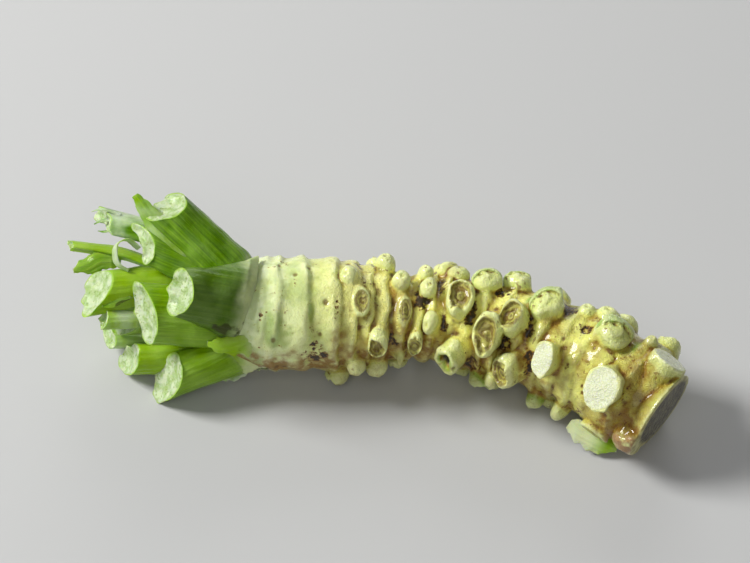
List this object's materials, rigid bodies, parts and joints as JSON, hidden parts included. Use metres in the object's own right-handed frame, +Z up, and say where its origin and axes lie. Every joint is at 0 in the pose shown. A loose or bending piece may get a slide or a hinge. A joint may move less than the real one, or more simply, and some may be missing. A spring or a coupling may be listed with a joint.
{
  "type": "wasabi root",
  "caption": "Fresh wasabi rhizome lying on its side, knobbly with leaf scars and side buds, old end cut across, leaf stalks trimmed short in a rosette at the crown.",
  "frame": {"origin": "the middle of the bounding box in plan, on the surface that the root lies on", "axes": "+X along the root from the leaf stalks to the cut old end, +Z up, so that -Y is the front"},
  "size_m": [0.1774, 0.074, 0.0471],
  "materials": {
    "rhizome_skin": "moist matt skin, pale yellow-green with brown crevices",
    "stalk_skin": "moist satin skin, bright green, with pale fibrous cut ends",
    "young_stalk_skin": "moist satin skin, yellow-green"
  },
  "bodies": {
    "root": {"rhizome": "rhizome_skin", "leaf_stalk_front": "stalk_skin", "leaf_stalk_top": "stalk_skin", "leaf_stalk_front_low": "stalk_skin", "leaf_stalk_front_inner": "stalk_skin", "leaf_stalk_top_inner": "stalk_skin", "leaf_stalk_top_back": "stalk_skin", "leaf_stalk_low": "stalk_skin", "leaf_stalk_back": "stalk_skin", "leaf_stalk_low_inner": "stalk_skin", "leaf_stalk_heart_large": "stalk_skin", "leaf_stalk_heart_small": "stalk_skin", "young_leaf_stalk": "young_stalk_skin"}
  },
  "joints": []
}
